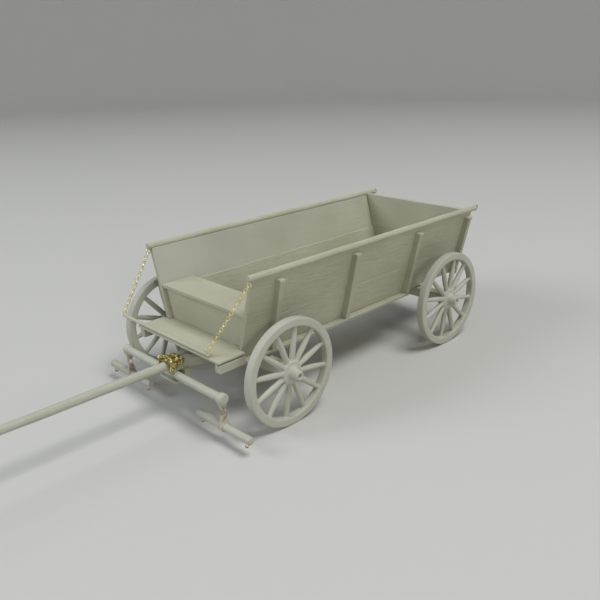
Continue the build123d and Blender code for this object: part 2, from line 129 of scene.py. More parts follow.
# noise drawn out along one axis
def grainNoise(tree, place, axis, form):
    stretch = [perMm(form["acrossMm"])] * 3
    stretch[axis] = perMm(form["alongMm"])
    lay = addNode(tree, "ShaderNodeMapping", values={"Scale": stretch}, links={"Vector": (place, "Object")})
    return addNode(tree, "ShaderNodeTexNoise", links={"Vector": (lay, "Vector")},
                   values={"Scale": 1.0, "Detail": 4.0, "Distortion": form["warp"]})


# two colours laid out by a noise: the shade below the first place, the pale one past the second
def cloudColours(tree, noise, pale, shade, places=mostNoise):
    ramp = addNode(tree, "ShaderNodeValToRGB", links={"Fac": (noise, "Fac")})
    for element, place, colour in zip(ramp.color_ramp.elements, places, (shade, pale)):
        element.position = place
        element.color = hexToLinear(colour)
    return ramp


# fine bumps so many millimetres apart and deep, over another node's normal
def fineRelief(tree, place, sizeMm, depthMm, normal=None):
    bumps = addNode(tree, "ShaderNodeTexNoise", values={"Scale": perMm(sizeMm)},
                    links={"Vector": (place, "Object")})
    under = {"Normal": (normal, "Normal")} if normal else {}
    return addNode(tree, "ShaderNodeBump", values={"Distance": depthMm / mmPerMetre},
                   links={"Height": (bumps, "Fac"), **under})


# 1 on faces turned to the middle of the box above a height, less towards the rear, and 0 elsewhere: where
# the planks are smooth and cool light is painted on them
def smoothAndCoolLightShare(tree, place, look, height):
    spot = addNode(tree, "ShaderNodeSeparateXYZ", links={"Vector": (place, "Object")})
    face = addNode(tree, "ShaderNodeNewGeometry")
    facing = addNode(tree, "ShaderNodeSeparateXYZ", links={"Vector": (face, "True Normal")})
    outward = addNode(tree, "ShaderNodeMath", {"operation": "MULTIPLY"},
                      links={0: (spot, "Y"), 1: (facing, "Y")})
    inside = addNode(tree, "ShaderNodeMath", {"operation": "LESS_THAN"}, {1: 0.0}, {0: (outward, "Value")})
    above = addNode(tree, "ShaderNodeMath", {"operation": "GREATER_THAN"}, {1: height / mmPerMetre},
                    {0: (spot, "Z")})
    upper = addNode(tree, "ShaderNodeMath", {"operation": "MULTIPLY"},
                    links={0: (inside, "Value"), 1: (above, "Value")})
    fade = addNode(tree, "ShaderNodeMapRange", links={"Value": (spot, "X")},
                   values={"From Min": look["roughX"] / mmPerMetre, "To Min": look["smoothLeast"],
                           "From Max": look["smoothX"] / mmPerMetre})
    return addNode(tree, "ShaderNodeMath", {"operation": "MULTIPLY"},
                   links={0: (upper, "Value"), 1: (fade, "Result")})


# cast resin, matt and slightly chalky, with a cloudy colour and the skin of the rubber mould
# grain is the axis along which carved wood grain runs, at a share of its full depth
# faces turned to the middle of the box are smooth above the height smoothAbove, in mm, and have cool light
# painted into their colour there
def resin(name, look, grain=None, share=1.0, tint=("pale", "shade"), smoothAbove=None):
    material, tree, shader, place = startMaterial(name)
    cloud = addNode(tree, "ShaderNodeTexNoise", values={"Scale": perMm(look["cloudMm"]), "Detail": 2.0},
                    links={"Vector": (place, "Object")})
    edge = addNode(tree, "ShaderNodeBevel", {"samples": 6}, {"Radius": look["edgeMm"] / mmPerMetre})
    relief = fineRelief(tree, place, look["skinMm"], look["skinDepthMm"], edge)
    colour = (cloudColours(tree, cloud, look[tint[0]], look[tint[1]]), "Color")
    if grain is not None:
        fibre = grainNoise(tree, place, grain, look["grain"])
        streak = grainNoise(tree, place, grain, look["streak"])
        tone = addNode(tree, "ShaderNodeMapRange", links={"Value": (fibre, "Fac")},
                       values={"From Min": mostNoise[0], "From Max": mostNoise[1],
                               "To Min": 1 - look["grainDark"] * share, "To Max": look["grainPale"]})
        toned = addNode(tree, "ShaderNodeVectorMath", {"operation": "SCALE"},
                        links={0: colour, "Scale": (tone, "Result")})
        colour = (toned, "Vector")
        strength = {}
        if smoothAbove is not None:
            smooth = smoothAndCoolLightShare(tree, place, look, smoothAbove)
            faint = addNode(tree, "ShaderNodeMapRange", links={"Value": (smooth, "Value")},
                            values={"To Min": 1.0, "To Max": look["smoothRelief"]})
            strength = {"Strength": (faint, "Result")}
            # painted cool light: cooler colours mixed into the smooth upper planks, strongest at the front
            coolLightColours = cloudColours(tree, cloud, look["coolPale"], look["coolShade"])
            withCoolLight = addNode(tree, "ShaderNodeMixRGB",
                            links={"Fac": (smooth, "Value"), "Color1": colour, "Color2": (coolLightColours, "Color")})
            colour = (withCoolLight, "Color")
        for noise, form in ((fibre, look["grain"]), (streak, look["streak"])):
            depth = share * form["depthMm"] / mmPerMetre
            relief = addNode(tree, "ShaderNodeBump", values={"Distance": depth},
                             links={"Height": (noise, "Fac"), "Normal": (relief, "Normal"), **strength})
    tree.links.new(colour[0].outputs[colour[1]], shader.inputs["Base Color"])
    tree.links.new(relief.outputs["Normal"], shader.inputs["Normal"])
    shader.inputs["Roughness"].default_value = look["roughness"]
    shader.inputs["Specular IOR Level"].default_value = look["specular"]
    return material


metalLook = {
    "plate": {"colours": ("#B9AA68", "#8A7C46"), "roughness": 0.4},    # brass plate, darker: painted shade under and between the raised rings
    "etched": {"colours": ("#E6DBA6", "#C6B87C"), "roughness": 0.34},    # raised rings, brighter: painted highlight
    "chain": {"colours": ("#F4EDBE", "#E0D594"), "roughness": 0.38},    # pale annealed brass
    "dull": {"colours": ("#A79C78", "#857B5C"), "roughness": 0.4},    # wire of the rail eyes
    "copper": {"colours": ("#D9B49A", "#B88F76"), "roughness": 0.3},    # wire of the rings below the bars
    "patchMm": 1.2,
    "patchEnds": (0.4, 0.6),
    "pitMm": 0.07,    # pits left by the acid or the drawing of the wire
    "pitDepthMm": 0.004,
}


# etched or drawn brass and copper: metallic, with duller patches and fine pits
def metal(name, look, finish):
    material, tree, shader, place = startMaterial(name)
    patch = addNode(tree, "ShaderNodeTexNoise", values={"Scale": perMm(look["patchMm"]), "Detail": 3.0},
                    links={"Vector": (place, "Object")})
    colour = cloudColours(tree, patch, *look[finish]["colours"], look["patchEnds"])
    relief = fineRelief(tree, place, look["pitMm"], look["pitDepthMm"])
    tree.links.new(colour.outputs["Color"], shader.inputs["Base Color"])
    tree.links.new(relief.outputs["Normal"], shader.inputs["Normal"])
    shader.inputs["Metallic"].default_value = 1.0
    shader.inputs["Roughness"].default_value = look[finish]["roughness"]
    return material


seamInsideZ = 25.3    # height where the two planks of each side meet inside the box
coolTint = ("coolPale", "coolShade")
castResin = resin("castResin", resinLook)
# its smooth upper planks inside the box carry painted cool light
panelResin = resin("panelResin", resinLook, grain=0, smoothAbove=seamInsideZ)
grainedResin = resin("grainedResin", resinLook, grain=0, share=0.6)
crossGrainedResin = resin("crossGrainedResin", resinLook, grain=1, share=0.35)
wheelResin = resin("wheelResin", resinLook, tint=coolTint)
poleResin = resin("poleResin", resinLook, grain=0, share=0.8, tint=coolTint)
barResin = resin("barResin", resinLook, grain=1, share=0.8, tint=coolTint)
pinkPutty = resin("pinkPutty", resinLook, tint=("pinkPale", "pinkShade"))
# the brighter brass is painted highlight on the raised rings and the pin, the darker plate brass painted
# shade
highlitBrass = metal("highlitBrass", metalLook, "etched")
shadedPlateBrass = metal("shadedPlateBrass", metalLook, "plate")
chainBrass = metal("chainBrass", metalLook, "chain")
dullWire = metal("dullWire", metalLook, "dull")
copperWire = metal("copperWire", metalLook, "copper")
print("materials made")


# shapes: each is a pair of an array of points and a list of faces

# rings of points joined by quads, with a flat face on each end unless the rings close on themselves
def ringShape(rings, closed=False):
    count, around = rings.shape[:2]
    ring = np.arange(count if closed else count - 1)[:, None]
    step = np.arange(around)[None, :]
    follow = (ring + 1) % count
    beside = (step + 1) % around
    corner = [ring * around + step, ring * around + beside, follow * around + beside, follow * around + step]
    faces = np.stack(np.broadcast_arrays(*corner), -1).reshape(-1, 4).tolist()
    if not closed:
        faces += [list(range(around)), list(range((count - 1) * around, count * around))]
    return rings.reshape(-1, 3), faces


# a closed outline, each corner a parabola between the points one radius before and after it
def roundedOutline(corners, radius, steps=3):
    mostOfSide = 0.45    # the most that a corner takes of each side
    corners = np.array(corners, float)
    ends = []
    for shift in (1, -1):
        away = np.roll(corners, shift, 0) - corners
        length = np.linalg.norm(away, axis=1, keepdims=True)
        ends.append(corners + away / length * np.minimum(radius, mostOfSide * length))
    start, end = ends
    t = np.linspace(0, 1, steps + 1)[None, :, None]
    curve = (1 - t) ** 2 * start[:, None] + 2 * t * (1 - t) * corners[:, None] + t ** 2 * end[:, None]
    return curve.reshape(-1, 2)


# the outline moved inwards along its own normals
def insetOutline(outline, amount):
    shortest = 1e-9    # where two points meet
    ahead = np.roll(outline, -1, 0)
    tangent = ahead - np.roll(outline, 1, 0)
    normal = np.stack([tangent[:, 1], -tangent[:, 0]], 1)
    normal /= np.maximum(np.linalg.norm(normal, axis=1, keepdims=True), shortest)
    area = np.sum(outline[:, 0] * ahead[:, 1] - ahead[:, 0] * outline[:, 1])
    return outline - normal * amount * np.sign(area)


# places along a length, and how far its outline draws in at each: both ends are quarter circles
def easedStations(length, edge, pitch):
    turn = np.radians([90, 60, 30, 0])
    ends = edge * (1 - np.sin(turn))
    count = max(2, int(length / pitch) + 1)
    middle = np.linspace(edge, length - edge, count)[1:-1]
    places = np.concatenate([ends, middle, length - ends[::-1]])
    drawnIn = edge * (1 - np.cos(turn))
    return places, np.concatenate([drawnIn, np.zeros(len(middle)), drawnIn[::-1]])


wanderWaves = {"lengths": (1.0, 0.61, 0.37), "phases": (0.0, 1.9, 4.1), "weights": (0.6, 0.3, 0.2)}


# a slow wander of three sines, for a line that was shaped by hand
def wander(distance, amount, wave, phase):
    lengths = wave * np.array(wanderWaves["lengths"])
    phases = phase + np.array(wanderWaves["phases"])
    waves = np.sin(2 * np.pi * distance[..., None] / lengths + phases)
    return amount * (waves * wanderWaves["weights"]).sum(-1)


# an outline carried straight along an axis, its ends softened
def board(outline, start, stop, axis, edge, pitch=4.0):
    places, drawnIn = easedStations(stop - start, edge, pitch)
    rings = [np.insert(insetOutline(outline, amount), axis, start + place, axis=1)
             for place, amount in zip(places, drawnIn)]
    return ringShape(np.array(rings))


# the four corners of a rectangle, rounded
def rectangle(low, high, radius):
    (a0, b0), (a1, b1) = low, high
    return roundedOutline([(a0, b0), (a1, b0), (a1, b1), (a0, b1)], radius)


# a board across the box: an outline in x and z spread in y by the half width at its height
def crossBoard(outline, halfWidthAt, stations=9):
    share = np.linspace(-1, 1, stations)[:, None]
    x, z = np.broadcast_to(outline.T[:, None], (2, stations, len(outline)))
    return ringShape(np.stack([x, share * halfWidthAt(z), z], -1))


# a profile of distance and radius turned about a line through a centre along one axis
def turned(profile, centre, axis, segments, closed=False):
    profile = np.array(profile, float)
    angle = np.linspace(0, 2 * np.pi, segments, endpoint=False)
    first, second = [i for i in range(3) if i != axis]
    rings = np.zeros((len(profile), segments, 3))
    rings[:, :, axis] = profile[:, :1] + centre[axis]
    rings[:, :, first] = profile[:, 1:] * np.cos(angle) + centre[first]
    rings[:, :, second] = profile[:, 1:] * np.sin(angle) + centre[second]
    return ringShape(rings, closed)


# a circle carried along a flat path, square to it
def tube(path, radius, planeNormal, segments=12, closed=False):
    path = np.array(path, float)
    planeNormal = np.array(planeNormal, float) / np.linalg.norm(planeNormal)
    tangent = np.roll(path, -1, 0) - np.roll(path, 1, 0) if closed else np.gradient(path, axis=0)
    tangent /= np.linalg.norm(tangent, axis=1, keepdims=True)
    side = np.cross(tangent, planeNormal)
    angle = np.linspace(0, 2 * np.pi, segments, endpoint=False)[None, :, None]
    radius = np.broadcast_to(np.asarray(radius, float), len(path))[:, None, None]
    rings = path[:, None] + radius * (np.cos(angle) * side[:, None] + np.sin(angle) * planeNormal)
    return ringShape(rings, closed)


# a ring of wire about a centre, in the plane of the first two of three square directions
def wireRing(centre, radius, wire, directions, count=28, segments=12):
    first, second, normal = directions
    angle = np.linspace(0, 2 * np.pi, count, endpoint=False)[:, None]
    path = np.array(centre) + radius * (np.cos(angle) * first + np.sin(angle) * second)
    return tube(path, wire, normal, segments, closed=True)


# a wire eye: a ring square to the normal, and a straight shank from its rim
def wireEye(centre, normal, toward, form):
    radius, wire, shank = form["radius"], form["wire"], form["shank"]
    normal = np.array(normal, float) / np.linalg.norm(normal)
    toward = np.array(toward, float)
    across = np.cross(normal, toward)
    ring = wireRing(centre, radius, wire, (across, np.cross(across, normal), normal))
    foot = np.array(centre) + toward * radius
    stem = tube([foot, foot + toward * shank * 0.5, foot + toward * shank], wire, normal)
    return [ring, stem]


# left shapes, as they are or mirrored to the right
def onSide(shapes, side):
    return [(points * [1, sides[side], 1], faces) for points, faces in shapes]


# a new object that holds the data, in the scene
def addObject(name, data):
    thing = bpy.data.objects.new(name, data)
    bpy.context.scene.collection.objects.link(thing)
    return thing


# one skin round a piece's shells: remeshed at the voxel size, then smoothed melt times
def fusedSkin(piece, voxel, melt):
    fuse = piece.modifiers.new("fuse", "REMESH")
    fuse.mode = "VOXEL"
    fuse.voxel_size = voxel
    soften = piece.modifiers.new("soften", "SMOOTH")
    soften.factor = 0.5
    soften.iterations = melt
    bpy.context.view_layer.update()
    ready = piece.evaluated_get(bpy.context.evaluated_depsgraph_get())
    skin = bpy.data.meshes.new_from_object(ready)
    piece.modifiers.clear()
    return skin


# the shapes joined in one mesh with its faces turned outwards, fused to one skin where voxel is a size
# flat leaves each face its own shading, and otherwise corners sharper than the angle stay sharp
def makePiece(name, shapes, material, replaced=(), body="wagon_body", flat=False,
              sharpDegrees=40, voxel=None, melt=0):
    mergeDistance = 1e-4
    points, faces, start = [], [], 0
    for shapePoints, shapeFaces in shapes:
        points.append(shapePoints)
        faces += [[index + start for index in face] for face in shapeFaces]
        start += len(shapePoints)
    mesh = bpy.data.meshes.new(name)
    mesh.from_pydata(np.concatenate(points).tolist(), [], faces)
    work = bmesh.new()
    work.from_mesh(mesh)
    bmesh.ops.remove_doubles(work, verts=work.verts, dist=mergeDistance)
    bmesh.ops.recalc_face_normals(work, faces=work.faces)
    work.to_mesh(mesh)
    work.free()
    piece = addObject(name, mesh)
    if voxel:
        piece.data = fusedSkin(piece, voxel, melt)
        bpy.data.meshes.remove(mesh)
        mesh = piece.data
        mesh.name = name
    mesh.transform(Matrix.Scale(1 / mmPerMetre, 4))
    mesh.polygons.foreach_set("use_smooth", [not flat] * len(mesh.polygons))
    if not flat and not voxel:
        mesh.set_sharp_from_angle(angle=math.radians(sharpDegrees))
    mesh.materials.clear()
    mesh.materials.append(material)
    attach(piece, body)
    if replaced:
        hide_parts(*replaced)
    return piece


# wheels

wheelForm = {
    "felloeDepth": 2.0, "felloeWidth": 2.1,
    "felloeSetBack": 2.2,    # behind the nave's outer end
    "spokes": 12,
    "spokeEnd": 0.66, "spokeTip": 0.56,    # radius at the nave and at the felloe
    "spokeBelly": 0.1, "bellyStretch": 1.1, "bellyPower": 1.5,
    "spokeRoot": 0.5, "spokeSeat": 0.4,    # how far it goes into the flange and into the felloe
    "flangeRadius": 2.8, "flangeWidth": 1.7, "barrelRadius": 2.1,
    "collarRadius": 1.4, "coveWidth": 0.35, "coveRise": (0.15, 0.6),    # a cove leads to the flange
    "noseRadius": 1.1, "noseLength": 1.3, "bore": 0.5,
    "edge": 0.22, "voxel": 0.15, "melt": 5,
    # degrees that the first spoke leans forward from the top
    "turns": {"front": {"left": -9.5, "right": 11}, "rear": {"left": -12.5, "right": 4}},
}


# one spoke: a circle carried from flange to felloe, fullest before its middle
def spoke(form, angle, centre, inner, hubY):
    share = np.linspace(0, 1, 13)
    start = form["flangeRadius"] - form["spokeRoot"]
    distance = start + (inner + form["spokeSeat"] - start) * share
    waist = form["spokeEnd"] + (form["spokeTip"] - form["spokeEnd"]) * share
    swell = np.sin(np.pi * np.clip(share * form["bellyStretch"], 0, 1)) ** form["bellyPower"]
    along = np.array([math.sin(angle), 0, math.cos(angle)])
    path = np.array([centre[0], hubY, centre[2]]) + distance[:, None] * along
    return tube(path, waist + form["spokeBelly"] * swell, (0, 1, 0), segments=14)


# a left wheel: felloe and nave turned about the axle, with the spokes between them
def wheelShapes(form, node, turn):
    low, high = spanOf(node)
    centre = middleOf(node)
    radius = (high[2] - low[2]) / 2
    noseY, innerY = high[1], low[1]
    faceY = noseY - form["felloeSetBack"]
    hubY = faceY - form["felloeWidth"] / 2
    inner = radius - form["felloeDepth"]
    axisPoint = [centre[0], 0, centre[2]]
    felloe = rectangle((faceY - form["felloeWidth"], inner), (faceY, radius), form["edge"])
    half = form["flangeWidth"] / 2
    collar, (lower, upper) = form["collarRadius"], form["coveRise"]
    nave = roundedOutline([
        (innerY, form["bore"]), (noseY, form["bore"]), (noseY, form["noseRadius"]),
        (noseY - form["noseLength"], collar), (hubY + half + form["coveWidth"], collar + lower),
        (hubY + half, collar + upper), (hubY + half, form["flangeRadius"]),
        (hubY - half, form["flangeRadius"]), (hubY - half, form["barrelRadius"]),
        (innerY, form["barrelRadius"])], form["edge"])
    angles = math.radians(turn) + np.arange(form["spokes"]) * 2 * math.pi / form["spokes"]
    spokes = [spoke(form, angle, centre, inner, hubY) for angle in angles]
    return [turned(felloe, axisPoint, 1, segments=168, closed=True),
            turned(nave, axisPoint, 1, segments=56, closed=True), *spokes]


for end in ("front", "rear"):
    for side in sides:
        node = f"{end}_wheel_{side}"
        shapes = wheelShapes(wheelForm, f"{end}_wheel_left", wheelForm["turns"][end][side])
        makePiece(f"{end}WheelCasting{side.title()}", onSide(shapes, side), wheelResin, [node], node,
                  voxel=wheelForm["voxel"], melt=wheelForm["melt"])
print("wheels made")


# box of the wagon

boxForm = {
    "thickness": 1.2, "flare": 0.27,    # of the sides, and how far they lean for each mm of height
    "edge": 0.12, "pitch": 1.2,
    "seamOutsideZ": 24.2,    # where the two planks of each side meet outside
    "seamWidth": 0.3, "seamDepth": 0.14,
    "insideStep": 0.12, "stepHalf": 0.05,    # the upper plank stands back, over twice this height
    "seamWander": (0.12, 19.0),    # amount and wave
    "depthShare": 0.75, "depthWander": (0.35, 11.0),
    "phases": (0.4, 3.0, 1.0),    # of the seam, the step inside and the seam's depth
    "wallClear": 0.05, "railClear": 0.1,    # room beside the cross boards
}
panelLow, panelHigh = spanOf("side_panel_left")
footBoardLow, footBoardHigh = spanOf("foot_board")
tailLow, tailHigh = spanOf("tailgate")
railLow, railHigh = spanOf("rail_left")
railMiddle = middleOf("rail_left")
railRadius = (railHigh[2] - railLow[2]) / 2
floorTopZ = footBoardHigh[2]
ledgeZ = panelLow[2]
# the wall measured along y, more than its thickness because it leans
wallY = boxForm["thickness"] * math.hypot(1, boxForm["flare"])
panelFootY = panelLow[1] + wallY


# distance of the panel's outer face from the middle at a height
def outerFace(z):
    return panelFootY + boxForm["flare"] * (np.asarray(z, float) - ledgeZ)


# a side panel: its leaning section carried along x, with a wandering V groove outside and step inside
def sidePanel(form):
    topZ = panelHigh[2]
    half, step, rise = form["seamWidth"] / 2, form["insideStep"], form["stepHalf"]
    places, drawnIn = easedStations(panelHigh[0] - panelLow[0], form["edge"], form["pitch"])
    outsidePhase, insidePhase, depthPhase = form["phases"]
    outsideZ = form["seamOutsideZ"] + wander(places, *form["seamWander"], outsidePhase)
    insideZ = seamInsideZ + wander(places, *form["seamWander"], insidePhase)
    depths = form["seamDepth"] * (form["depthShare"] + wander(places, *form["depthWander"], depthPhase))
    rings = []
    for place, amount, outside, inside, cut in zip(places, drawnIn, outsideZ, insideZ, depths):
        corners = [(ledgeZ, 0), (outside - half, 0), (outside, cut), (outside + half, 0), (topZ, 0)]
        corners = [(outerFace(z) - inset, z) for z, inset in corners]
        corners += [(outerFace(z) - wallY + inset, z) for z, inset in
                    ((topZ, step), (inside + rise, step), (inside - rise, 0), (ledgeZ, 0))]
        outline = insetOutline(roundedOutline(corners, form["edge"], 2), amount)
        rings.append(np.insert(outline, 0, panelLow[0] + place, axis=1))
    return ringShape(np.array(rings))


panelShapes = [sidePanel(boxForm)]
for side in sides:
    makePiece(f"sidePlanks{side.title()}", onSide(panelShapes, side), panelResin, [f"side_panel_{side}"],
              flat=True)


# a rectangle in x and z with a V groove cut into its front side at a height
def groovedOutline(low, high, z, form):
    (x0, z0), (x1, z1) = low, high
    half, depth = form["seamWidth"] / 2, form["seamDepth"]
    return roundedOutline([(x0, z0), (x1, z0), (x1, z - half), (x1 - depth, z), (x1, z + half), (x1, z1),
                           (x0, z1)], form["edge"], 2)


# half width of the box between the panels at a height, and clear of the rails
def innerHalf(z):
    limit = railMiddle[1] - railRadius - boxForm["railClear"]
    return np.minimum(outerFace(z) - wallY - boxForm["wallClear"], limit)


tailOutline = groovedOutline(tailLow[[0, 2]], tailHigh[[0, 2]], seamInsideZ, boxForm)
makePiece("tailBoard", [crossBoard(tailOutline, innerHalf)], crossGrainedResin, ["tailgate"], flat=True)
for node, name in (("front_board", "frontBoard"), ("seat_board", "seatPlank")):
    low, high = spanOf(node)
    outline = rectangle(low[[0, 2]], high[[0, 2]], boxForm["edge"])
    makePiece(name, [crossBoard(outline, innerHalf)], crossGrainedResin, [node], flat=True)
footOutline = rectangle(footBoardLow[[0, 2]], footBoardHigh[[0, 2]], boxForm["edge"])
footPlank = board(footOutline, footBoardLow[1], footBoardHigh[1], 1, edge=0.1)
makePiece("footPlank", [footPlank], crossGrainedResin, ["foot_board"], flat=True)

bedForm = {"planks": 6, "step": 0.05, "gap": 0.03, "seat": 0.3, "edge": 0.12, "endEdge": 0.05,
           "baseEdge": 0.06}


# the bed: planks side by side in y over a plain floor between the panels
def bedShapes(form):
    low, high = spanOf("floor")
    half = high[1]
    base = rectangle((-half, low[2]), (half, floorTopZ), form["edge"])
    shapes = [board(base, low[0], high[0], 0, form["baseEdge"])]
    width = 2 * half / form["planks"]
    for i in range(form["planks"]):
        y0 = -half + i * width
        top = high[2] - form["step"] * (i % 2)
        strip = rectangle((y0 + form["gap"], floorTopZ - form["seat"]), (y0 + width - form["gap"], top),
                          form["edge"])
        shapes.append(board(strip, tailHigh[0], spanOf("front_board")[0][0], 0, form["endEdge"]))
    return shapes


makePiece("bedPlanks", bedShapes(bedForm), grainedResin, ["floor"], flat=True)
print("box made")


# stakes and sills

stakeForm = {
    "width": 1.3, "footDepth": 1.9, "topDepth": 1.6,
    "footBack": 0.25, "topAhead": 0.6,    # they lean forward, as set by hand
    "capHeight": 0.75, "overhang": 0.2, "seat": 0.1,
    "edge": 0.14, "capEdge": 0.12,
    "places": (-2.0, -27.8, -53.6, -77.8),    # along x from the front axle
}


# left stakes: a softened rectangle carried up the panel's lean, with a wider cap
def stakeShapes(form):
    low, high = spanOf("stakes_left")
    capZ = high[2] - form["capHeight"]
    half, over, seat = form["width"] / 2, form["overhang"], form["seat"]
    shapes = []
    for place in form["places"]:
        rings = []
        for z, depth, shift in ((low[2], form["footDepth"], -form["footBack"]),
                                (capZ, form["topDepth"], form["topAhead"])):
            x = frontAxleX + place + shift
            inner = float(outerFace(z)) - seat
            outline = rectangle((x - half, inner), (x + half, inner + depth + seat), form["edge"])
            rings.append(np.insert(outline, 2, z, axis=1))
        shapes.append(ringShape(np.array(rings)))
        cap = rectangle((x - half - over, inner), (x + half + over, inner + form["topDepth"] + over + seat),
                        form["edge"])
        shapes.append(board(cap, capZ, high[2], 2, form["capEdge"]))
    return shapes


sillForm = {
    "width": 1.8, "edge": 0.14, "seat": 0.2,
    "ledgeBack": 54.6,    # from the front axle to the ledge's rear end
    "lowerInset": 0.1, "groove": 0.16, "grooveDrop": 0.05, "ledgeRounding": 0.06,
    "frontInset": 0.1, "frontWidth": 1.8, "gap": (0.75, 0.38), "frontRounding": 0.1,
}


# left sill: the ledge plank with its grooved edge, the long sill on it, and a block below the foot board
def sillShapes(form):
    low, high = spanOf("sill_left")
    frontX, seat = panelHigh[0], form["seat"]
    edgeY, groove = high[1] - form["lowerInset"], form["groove"]
    middleZ = (low[2] + ledgeZ) / 2 - form["grooveDrop"]
    ledge = roundedOutline([(low[1], low[2]), (edgeY, low[2]), (edgeY, middleZ - groove / 2),
                            (edgeY - groove, middleZ), (high[1], middleZ + groove / 2),
                            (high[1], ledgeZ), (low[1], ledgeZ)], form["ledgeRounding"], 2)
    longSill = rectangle((low[1], ledgeZ - seat), (low[1] + form["width"], high[2]), form["edge"])
    outer = footBoardHigh[1] - form["frontInset"]
    inner, (inward, down) = outer - form["frontWidth"], form["gap"]
    front = roundedOutline([(inner, low[2]), (outer, low[2]), (outer, high[2] - down),
                            (outer - inward, high[2] - down), (outer - inward, high[2]), (inner, high[2])],
                           form["frontRounding"], 2)
    return [board(ledge, frontAxleX - form["ledgeBack"], frontX, 0, form["edge"]),
            board(longSill, low[0], frontX, 0, form["edge"]),
            board(front, frontX - seat, high[0], 0, form["edge"])]


for name, shapes, material in (("stakes", stakeShapes(stakeForm), castResin),
                               ("sill", sillShapes(sillForm), grainedResin)):
    for side in sides:
        makePiece(name + side.title(), onSide(shapes, side), material, [f"{name}_{side}"], flat=True)
print("stakes and sills made")


# round bars

# the phase step sets its two wanders off from each other
barForm = {"wander": 0.05, "wave": 23.0, "phaseStep": 2.2, "edge": 0.25, "pitch": 1.5, "railInset": 0.04}


# a straight round bar along one axis, with eased ends and a slight wander
def roundBar(start, stop, radius, axis, form, segments=40, phase=0.0):
    start, stop = np.array(start, float), np.array(stop, float)
    length = np.linalg.norm(stop - start)
    places, drawnIn = easedStations(length, form["edge"], form["pitch"])
    path = start + (stop - start) * (places / length)[:, None]
    others = [i for i in range(3) if i != axis]
    for other, turn in zip(others, (0.0, form["phaseStep"])):
        path[:, other] += wander(places, form["wander"], form["wave"], phase + turn)
    return tube(path, radius - drawnIn, np.eye(3)[others[1]], segments)


for side, sign in sides.items():
    start, stop = ([x, sign * railMiddle[1], railMiddle[2]] for x in (railLow[0], railHigh[0]))
    bar = roundBar(start, stop, railRadius - barForm["railInset"], 0, barForm, phase=sign)
    makePiece(f"railRod{side.title()}", [bar], grainedResin, [f"rail_{side}"])

poleForm = {
    "radius": 1.15, "tipRadius": 0.85, "straight": 13.5, "inset": 0.03, "edge": 0.3, "pitch": 1.5,
    "sideways": (0.04, 31.0, 0.7), "upDown": (0.03, 27.0, 2.0),    # amount, wave and phase of its wander
}


# the pole: a circle carried along x, tapered towards its tip
def poleShape(form):
    low, high = spanOf("pole")
    places, drawnIn = easedStations(high[0] - low[0], form["edge"], form["pitch"])
    taper = np.clip((places - form["straight"]) / (places[-1] - form["straight"]), 0, 1)
    radius = form["radius"] - form["inset"] - (form["radius"] - form["tipRadius"]) * taper - drawnIn
    path = np.stack([low[0] + places, wander(places, *form["sideways"]),
                     middleOf("pole")[2] + wander(places, *form["upDown"])], 1)
    return tube(path, radius, (0, 0, 1), segments=40)


makePiece("poleRod", [poleShape(poleForm)], poleResin, ["pole"], "front_gear")

footBarForm = {"radius": 0.45, "bendY": -19.2, "tipRise": 0.2, "risePower": 1.4, "edge": 0.2,
               "pitch": 1.0}
barLow, barHigh = spanOf("foot_bar")
barX = middleOf("foot_bar")[0]


# the foot bar: a circle carried along y, rising a little from the bend to its right end
def footBarShape(form):
    places, drawnIn = easedStations(barHigh[1] - barLow[1], form["edge"], form["pitch"])
    y = barHigh[1] - places
    share = np.clip((form["bendY"] - y) / (form["bendY"] - barLow[1]), 0, 1)
    z = floorTopZ + form["radius"] + form["tipRise"] * share ** form["risePower"]
    path = np.stack([np.full_like(y, barX), y, z], 1)
    return tube(path, form["radius"] - drawnIn, (1, 0, 0), segments=20)


makePiece("footBarRod", [footBarShape(footBarForm)], castResin, ["foot_bar"])
print("bars made")


# draught gear

draughtForm = {
    "radius": 1.0, "knobRadius": 1.4, "knobLength": 1.6,
    "knobStart": (0.25, 0.15),
    "knobEnd": ((0.35, 0.0), (0.1, 0.18), (0.0, 0.5)),    # back from the end, and inwards
    "lugRoot": (2.6, 1.0), "lugTip": (1.3, 0.5), "lugRounding": 0.2,
    "tipEase": 0.17, "tipDraw": 0.45,    # the share of its length that draws in, and how much
    "voxel": 0.09, "melt": 2, "bracketMelt": 3,
    "hangY": 19.0, "drop": 2.2, "ringRadius": 1.2, "ringWire": 0.15,
    "holeDrop": 1.1, "holeRadius": 0.4, "tipWall": 0.25,
    "singleRadius": 0.92, "singleWander": 0.02,
    "strapRadius": 1.2, "strapWidth": 1.5, "strapEdge": (0.1, 0.25),
    "eye": {"radius": 0.48, "wire": 0.13, "shank": 0.5}, "eyeInset": 1.4, "eyeGap": 0.15,
}
doubleHigh = spanOf("doubletree")[1]
doubleX = middleOf("doubletree")[0]
doubleZ = doubleHigh[2] - draughtForm["knobRadius"]
upperHoleZ = doubleZ - draughtForm["radius"] - draughtForm["holeDrop"]
ringZ = upperHoleZ - draughtForm["ringRadius"]
lowerHoleZ = ringZ - draughtForm["ringRadius"]
singleLow, singleHigh = spanOf("singletree_left")
singleHalf = (singleHigh[1] - singleLow[1]) / 2
singleZ = lowerHoleZ - draughtForm["drop"]


# a lug: a softened rectangle that narrows from the bar to its tip
def lugShape(form, rootZ, tipZ):
    y, ease = form["hangY"], form["tipEase"]
    rings = []
    for share in np.linspace(0, 1, 7):
        size = np.array(form["lugRoot"]) * (1 - share) + np.array(form["lugTip"]) * share
        size *= 1 - form["tipDraw"] * max(0.0, share - (1 - ease)) / ease
        outline = rectangle([doubleX, y] - size / 2, [doubleX, y] + size / 2, form["lugRounding"])
        rings.append(np.insert(outline, 2, rootZ + (tipZ - rootZ) * share, axis=1))
    return ringShape(np.array(rings))


